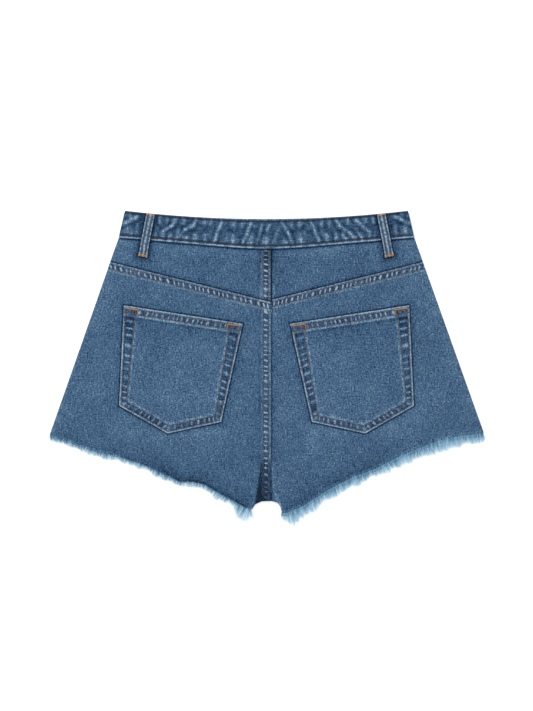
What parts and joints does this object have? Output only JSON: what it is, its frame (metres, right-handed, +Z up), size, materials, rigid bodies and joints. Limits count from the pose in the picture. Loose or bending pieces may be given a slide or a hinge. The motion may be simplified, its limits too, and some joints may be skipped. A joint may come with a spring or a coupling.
{
  "type": "denim shorts",
  "caption": "High-waisted denim shorts laid flat with the back up: waistband, yokes, patch pockets, belt loops and frayed cut hems.",
  "frame": {"origin": "under the middle of the shorts, on the surface they lie on", "axes": "+Z up out of the back, +Y towards the waist, +X towards the wearer's right hip"},
  "size_m": [0.564, 0.4056, 0.01],
  "materials": {
    "denim": "washed mid-blue cotton twill, matt, with a fine vertical slub",
    "band_denim": "the same denim, darker in its creases and faded on its ridges",
    "fray": "loose cotton threads, pale blue at the roots and near white at the tips",
    "zip_tape": "dark cotton zip tape with brass teeth",
    "brass": "aged plain brass"
  },
  "bodies": {
    "root": {"waistband": "band_denim", "waist_button": "brass", "fly_shield": "denim", "zip": "zip_tape", "back_panel_left": "denim", "back_panel_right": "denim", "yoke_left": "denim", "yoke_right": "denim", "front_panel_left": "denim", "front_panel_right": "denim", "back_pocket_left": "denim", "back_pocket_right": "denim", "belt_loop_back_left": "band_denim", "belt_loop_back_right": "band_denim", "belt_loop_front_left": "band_denim", "belt_loop_front_right": "band_denim", "fray_back_left": "fray", "fray_back_right": "fray", "fray_front_left": "fray", "fray_front_right": "fray"}
  },
  "joints": []
}
